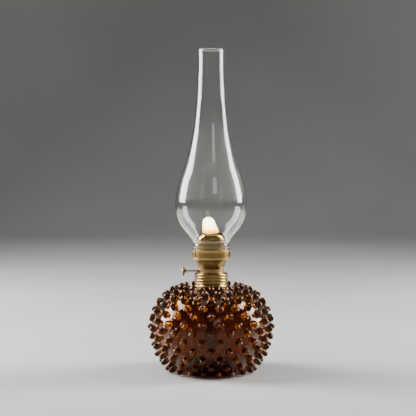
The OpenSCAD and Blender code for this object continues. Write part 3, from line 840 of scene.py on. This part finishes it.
def build_dome():
    """The flame spreader: a flange on the gallery's floor, a tall cap and the slot for the flame."""
    shoulder = DOME_TOP - DOME_ROUND
    outside = arc(DOME_R - DOME_ROUND, shoulder, DOME_ROUND, 0, 90, 18)
    inside = arc(DOME_R - DOME_ROUND, shoulder, DOME_ROUND - SHEET, 90, 0, 18)
    flange_top = DOME_Z + SHEET
    outline = [[DOME_FLANGE_R - 0.15, DOME_Z], [DOME_FLANGE_R, DOME_Z + 0.3],
               [DOME_FLANGE_R - 0.15, flange_top], [DOME_R + 0.6, flange_top],
               [DOME_R + 0.15, flange_top + 0.15], [DOME_R, flange_top + 0.6]]
    outline += [[DOME_R, z] for z in np.linspace(DOME_Z + 2.5, shoulder - 1.0, 6)]
    outline += outside
    outline += [[4, DOME_TOP], [0.01, DOME_TOP], [0.01, DOME_TOP - SHEET], [4, DOME_TOP - SHEET]]
    outline += inside
    outline += [[DOME_R - SHEET, z] for z in np.linspace(shoulder - 1.0, DOME_Z + 1.0, 5)]
    outline += [[DOME_R - SHEET, DOME_Z + 0.15], [DOME_R - SHEET + 0.15, DOME_Z]]
    verts, faces = lathe(outline, 144)
    obj = add_piece("flame_dome", verts, faces, SPUN, "gallery", ("dome",), sharp=40)
    slot_h = 20
    cut(obj, [box_part((0, 0, shoulder + slot_h / 2), (FLAME_SLOT_LEN, FLAME_SLOT_DEEP, slot_h))])
    soften(obj, 0.14, 3)


def build_knob():
    """A turned disc with a milled rim, a sunk ring on its face and a hub."""
    notches, notch_deep, columns = 32, 0.3, 192
    face = KNOB_X - KNOB_T / 2
    back = face + KNOB_T
    profile = [(face + 0.15, SHAFT_R), (face, SHAFT_R + 0.2), (face, KNOB_R * 0.53),
               (face + 0.12, KNOB_R * 0.56), (face + 0.5, KNOB_R * 0.6), (face + 0.5, KNOB_R * 0.76),
               (face + 0.1, KNOB_R * 0.82), (face, KNOB_R * 0.86), (face + 0.05, KNOB_R - 0.5),
               (face + 0.32, KNOB_R - 0.08), (face + 0.6, KNOB_R), (back - 0.6, KNOB_R),
               (back - 0.32, KNOB_R - 0.08), (back - 0.05, KNOB_R - 0.5), (back, KNOB_R * 0.8),
               (back, SHAFT_R + 1.6), (back + 0.3, SHAFT_R + 1.3), (back + 1.7, SHAFT_R + 1.3),
               (back + 2.0, SHAFT_R + 1.0), (back + 2.0, SHAFT_R)]
    verts = []
    for c in range(columns):
        a = 2 * math.pi * c / columns
        notch = notch_deep * (0.5 + 0.5 * math.cos(notches * a)) ** 2
        for x, r in profile:
            r -= notch * max(0.0, min(1.0, (r - KNOB_R + 0.6) / 0.5))
            verts.append((x, SHAFT_Y + r * math.cos(a), SHAFT_Z + r * math.sin(a)))
    faces = hoop(columns, len(profile))
    add_piece("knurled_knob", verts, faces, PLAIN, "wick_raiser", ("wick_knob",), sharp=50)


# ------------------------------------------------- wick and flame
def build_wick():
    """A woven tape: thirteen warp cords a side, soft edges and a slightly uneven trimmed top."""
    w, t = WICK_W / 2 - 0.1, WICK_T / 2 - 0.08
    cord_w, cord_deep, steps = 1.215, 0.16, 52
    section = []
    for k in range(steps + 1):
        x = -w + 2 * w * k / steps
        section.append((x, -t + cord_deep * (1 - abs(math.sin(math.pi * (x + w) / cord_w)))))
    section += [(x, -y) for x, y in reversed(section)]
    levels = np.concatenate([np.linspace(WICK_BOTTOM, WICK_TOP - 8, 110),
                             np.linspace(WICK_TOP - 7.6, WICK_TOP, 20)])
    n = len(section)
    fray = [rng.uniform(-0.22, 0.0) for _ in section]
    verts = []
    for z in levels:
        ripple = 1 - 0.035 * abs(math.sin(math.pi * z / 2.4))
        verts += [(x, y * ripple, z) for x, y in section]
    pinch_x, pinch_y = 0.985, 0.8
    verts[-n:] = [(x * pinch_x, y * pinch_y, z + drop) for (x, y, z), drop in zip(verts[-n:], fray)]
    faces = tube(len(levels), n)
    last = (len(levels) - 1) * n
    for j in range(n // 2 - 1):
        faces.append((j + 1, j, n - 1 - j, n - 2 - j))
        faces.append((last + j, last + j + 1, last + n - 2 - j, last + n - 1 - j))
    obj = add_piece("wick_tape", verts, faces, COTTON, "wick", ("wick",), sharp=60)


def build_flame():
    """A flat-wick flame that leans to the left. Its root is hollow, so the wick can rise into it."""
    stations = np.array([       # height, left edge, right edge, half thickness
        (FLAME_FOOT, -9.0, 8.8, 2.0), (165.5, -10.0, 8.9, 2.4), (168.0, -10.5, 8.9, 2.7),
        (170.5, -10.6, 8.6, 2.8), (173.0, -10.6, 7.4, 2.8), (175.5, -10.5, 6.1, 2.7),
        (178.0, -10.3, 5.0, 2.5), (180.5, -9.9, 4.0, 2.3), (182.5, -9.2, 3.0, 2.0),
        (184.0, -8.0, 1.6, 1.6), (185.1, -6.2, -0.1, 1.0), (185.7, -4.6, -2.0, 0.4)])
    tip_x, root_half_w, root_half_t, root_top = -3.3, 8.3, 1.5, 170.2
    root_levels = (FLAME_FOOT, 167.0, 169.9)
    ring = 40
    verts = []

    def add_ring(z, left, right, thick, power):
        """A level ring whose corners are squarer the lower the power."""
        mid, w = (left + right) / 2, (right - left) / 2
        for j in range(ring):
            a = 2 * math.pi * j / ring
            c, s = math.cos(a), math.sin(a)
            x = mid + w * math.copysign(abs(c) ** power, c)
            verts.append((x, thick * math.copysign(abs(s) ** power, s), z))

    heights = curve([[z, 0] for z in stations[:, 0]], 3)[:, 0]
    for z in heights:
        add_ring(z, *[float(np.interp(z, stations[:, 0], stations[:, k])) for k in (1, 2, 3)], 0.8)
    tip = len(verts)
    verts.append((tip_x, 0.0, FLAME_TIP))
    root = tip + 1
    for z in root_levels:
        add_ring(z, -root_half_w, root_half_w, root_half_t, 0.3)
    cap = len(verts)
    verts.append((0.0, 0.0, root_top))
    faces = tube(len(heights), ring)
    last, root_last = tip - ring, cap - ring
    for j in range(ring):
        n = (j + 1) % ring
        faces.append((last + j, last + n, tip))
        faces.append((j, n, root + n, root + j))
        for k in range(len(root_levels) - 1):
            a, b = root + k * ring, root + (k + 1) * ring
            faces.append((a + j, a + n, b + n, b + j))
        faces.append((root_last + j, root_last + n, cap))
    add_piece("flame", verts, faces, FLAME, "burner")


# ------------------------------------------------- stage, lights and camera, in metres
FLOOR_R = 2.4
COVE_R = 1.3                    # the curve from the floor up into the backdrop
BACKDROP_TOP = 4.0
WARM_WHITE = (1.0, 0.985, 0.96)
WHITE = (1.0, 1.0, 1.0)
FRAME_PX, FOCAL_PX, SENSOR_MM = 416, 1150, 36.0
EYE = (-0.0038, -1.38, 0.257)
LOOK_DOWN = 2.52                # degrees


def build_stage():
    """A round studio floor whose rim curves up into the backdrop."""
    profile = [(r, 0.0) for r in (0.0, 0.6, 1.4, FLOOR_R)]
    profile += [(FLOOR_R + COVE_R * math.sin(a), COVE_R - COVE_R * math.cos(a))
                for a in np.radians(np.linspace(9, 90, 10))]
    profile += [(FLOOR_R + COVE_R, 2.6), (FLOOR_R + COVE_R, BACKDROP_TOP)]
    columns = 72
    verts = []
    for r, z in profile:
        for j in range(columns):
            a = 2 * math.pi * j / columns
            verts.append((r * math.cos(a), r * math.sin(a), z))
    mesh = bpy.data.meshes.new("studio_floor")
    mesh.from_pydata(verts, [], tube(len(profile), columns))
    bm = bmesh.new()
    bm.from_mesh(mesh)
    bmesh.ops.remove_doubles(bm, verts=bm.verts, dist=1e-5)
    bm.to_mesh(mesh)
    bm.free()
    shade_smooth(mesh)
    mesh.materials.append(studio_paper())
    obj = link_object("studio_floor", mesh)


def add_light(name, place, target, size, power, colour):
    """A rectangular softbox that faces its target and isn't seen itself."""
    data = bpy.data.lights.new(name, "AREA")
    data.shape = "RECTANGLE"
    data.size, data.size_y = size
    data.energy = power
    data.color = colour
    obj = link_object(name, data)
    obj.location = place
    obj.rotation_mode = "QUATERNION"
    obj.rotation_quaternion = (Vector(target) - Vector(place)).to_track_quat("-Z", "Y")
    obj.visible_camera = False


def add_world():
    world = bpy.data.worlds.new("studio")
    world.use_nodes = True
    background = world.node_tree.nodes["Background"]
    background.inputs["Color"].default_value = (0.80, 0.82, 0.85, 1)
    background.inputs["Strength"].default_value = 0.16
    bpy.context.scene.world = world


def add_camera():
    camera = bpy.data.cameras.new("camera")
    camera.sensor_width = SENSOR_MM
    camera.lens = SENSOR_MM * FOCAL_PX / FRAME_PX
    camera.clip_start = 0.05
    camera.clip_end = 50
    eye = link_object("camera", camera)
    eye.location = EYE
    eye.rotation_euler = (math.radians(90 - LOOK_DOWN), 0, 0)
    bpy.context.scene.camera = eye


build_font()
build_chimney()
build_collar()
build_screw_ring()
build_basket()
build_gallery()
build_dome()
build_knob()
build_wick()
build_flame()

build_stage()
add_light("softbox_left", (-1.18, 0.36, 0.82), (0, 0, 0.12), (0.76, 1.30), 92.0, WARM_WHITE)
add_light("softbox_right", (1.22, 0.34, 0.78), (0, 0, 0.12), (0.58, 1.20), 62.0, WARM_WHITE)
add_light("overhead", (0.0, 0.1, 2.4), (0, 0, 0), (1.2, 1.2), 8.0, WHITE)
add_light("fill", (0.5, -2.2, 1.3), (0, 0, 0.15), (0.6, 0.6), 3.0, WHITE)
add_world()
add_camera()
